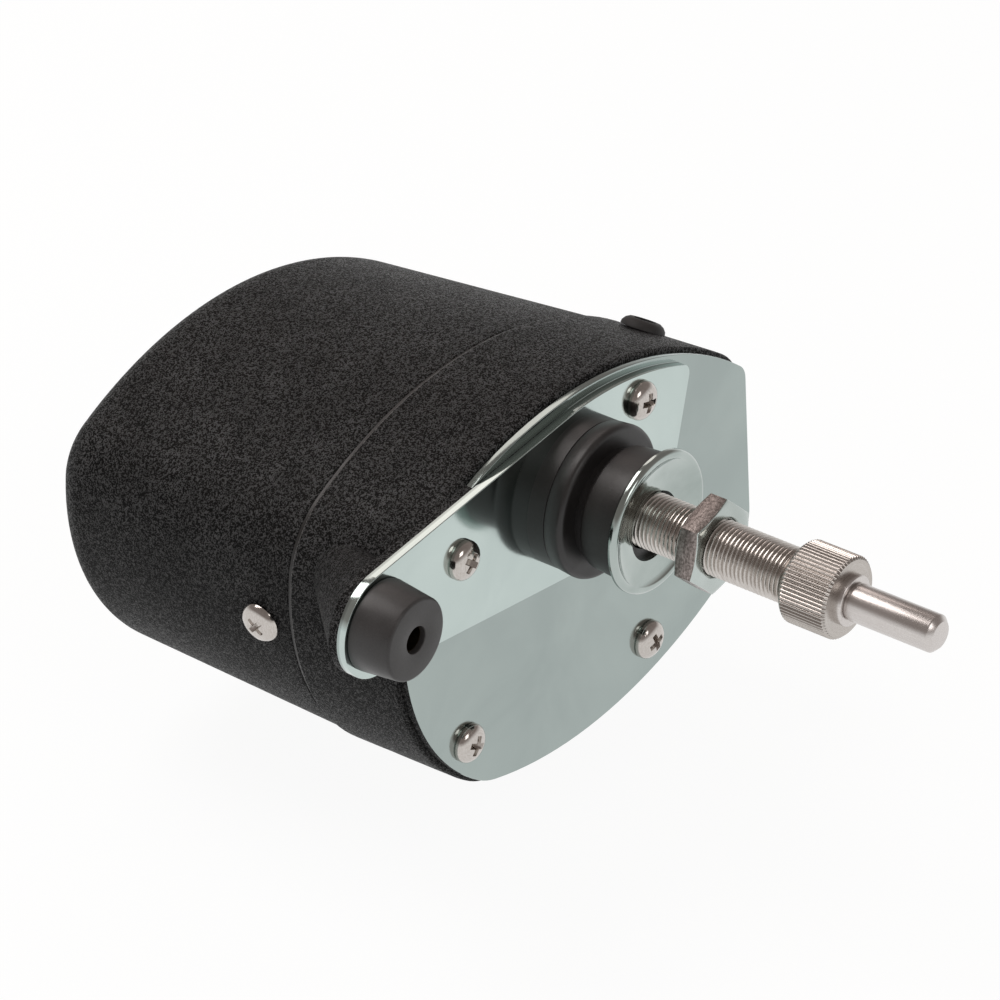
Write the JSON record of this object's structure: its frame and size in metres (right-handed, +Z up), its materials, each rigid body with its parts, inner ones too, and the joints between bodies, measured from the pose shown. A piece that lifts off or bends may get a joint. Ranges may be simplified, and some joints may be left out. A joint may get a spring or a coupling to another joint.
{
  "type": "wiper motor",
  "caption": "Self parking wiper motor: black two part casing, polished front plate, threaded post with gasket, washer and nut, oscillating knurled drive shaft.",
  "frame": {"origin": "where the shaft axis crosses the front face of the raised pad, against which the panel seats", "axes": "+X to the right seen from the front, +Z up, the shaft points along -Y"},
  "size_m": [0.1117, 0.148, 0.0684],
  "materials": {
    "housing_black": "fine wrinkle black paint",
    "plate_steel": "bright rolled stainless sheet",
    "screw_steel": "bright nickel plate",
    "rubber_black": "matt moulded rubber",
    "washer_chrome": "polished",
    "post_steel": "nickel plated thread",
    "shaft_steel": "ground and nickel plated",
    "zinc_plate": "zinc plated steel",
    "bronze": "sintered bronze",
    "insert_brass": "turned brass",
    "gear_steel": "sintered steel",
    "gear_nylon": "moulded nylon",
    "laminations": "varnished steel sheets",
    "copper": "copper",
    "ferrite": "sintered ferrite",
    "carbon": "carbon",
    "phenolic": "phenolic board"
  },
  "bodies": {
    "housing": {"gear_housing": "housing_black", "rear_cover": "housing_black", "front_plate": "plate_steel", "housing_seal": "rubber_black", "plate_screws": "screw_steel", "cover_screws": "screw_steel", "bulkhead_screws": "screw_steel", "post_gasket": "rubber_black", "mounting_bumper": "rubber_black", "bumper_insert": "insert_brass", "cable_grommet": "rubber_black", "cup_washer": "washer_chrome", "threaded_post": "post_steel", "hex_nut": "post_steel", "post_bushes": "bronze", "shaft_seal": "rubber_black", "bulkhead_plate": "zinc_plate", "gear_studs": "shaft_steel", "motor_yoke": "zinc_plate", "magnets": "ferrite", "motor_bushes": "bronze", "brush_holder": "phenolic", "brushes": "carbon", "brush_springs": "copper", "park_block": "phenolic", "park_strips": "copper"},
    "armature": {"armature_shaft": "shaft_steel", "armature_core": "laminations", "windings": "copper", "commutator": "copper", "motor_pinion": "bronze"},
    "idler": {"idler_wheel": "gear_nylon", "idler_pinion": "gear_steel"},
    "crank": {"crank_gear": "gear_steel", "crank_pin": "shaft_steel", "park_ring": "copper"},
    "link": {"connecting_link": "zinc_plate"},
    "wiper_shaft": {"output_shaft": "shaft_steel", "rocker_lever": "zinc_plate", "rocker_pin": "shaft_steel", "knurled_driver": "shaft_steel", "driver_collar": "shaft_steel"}
  },
  "joints": [
    {"name": "armature_spin", "type": "hinge", "parent": "housing", "child": "armature", "pos_m": [-0.017, 0, -0.016], "axis": [0, -1, 0], "range_deg": [-2484, 2484]},
    {"name": "idler_spin", "type": "hinge", "parent": "housing", "child": "idler", "pos_m": [-0.00545, 0, -0.02915], "axis": [0, -1, 0], "range_deg": [-414, 414]},
    {"name": "crank_spin", "type": "hinge", "parent": "housing", "child": "crank", "pos_m": [0.015, 0, -0.02], "axis": [0, -1, 0], "range_deg": [-90, 90]},
    {"name": "link_swing", "type": "hinge", "parent": "crank", "child": "link", "pos_m": [0.01998, 0, -0.01665], "axis": [0, -1, 0], "range_deg": [-90, 90]},
    {"name": "wiper_sweep", "type": "hinge", "parent": "housing", "child": "wiper_shaft", "pos_m": [0, 0, 0], "axis": [0, -1, 0], "range_deg": [-55, 55]}
  ],
  "couplings": [
    {"joint": "idler_spin", "follows": "armature_spin", "ratio": -0.16667},
    {"joint": "crank_spin", "follows": "armature_spin", "ratio": 0.036232},
    {"joint": "link_swing", "follows": "armature_spin", "ratio": -0.036232},
    {"joint": "wiper_sweep", "follows": "armature_spin", "ratio": 0.022142}
  ]
}
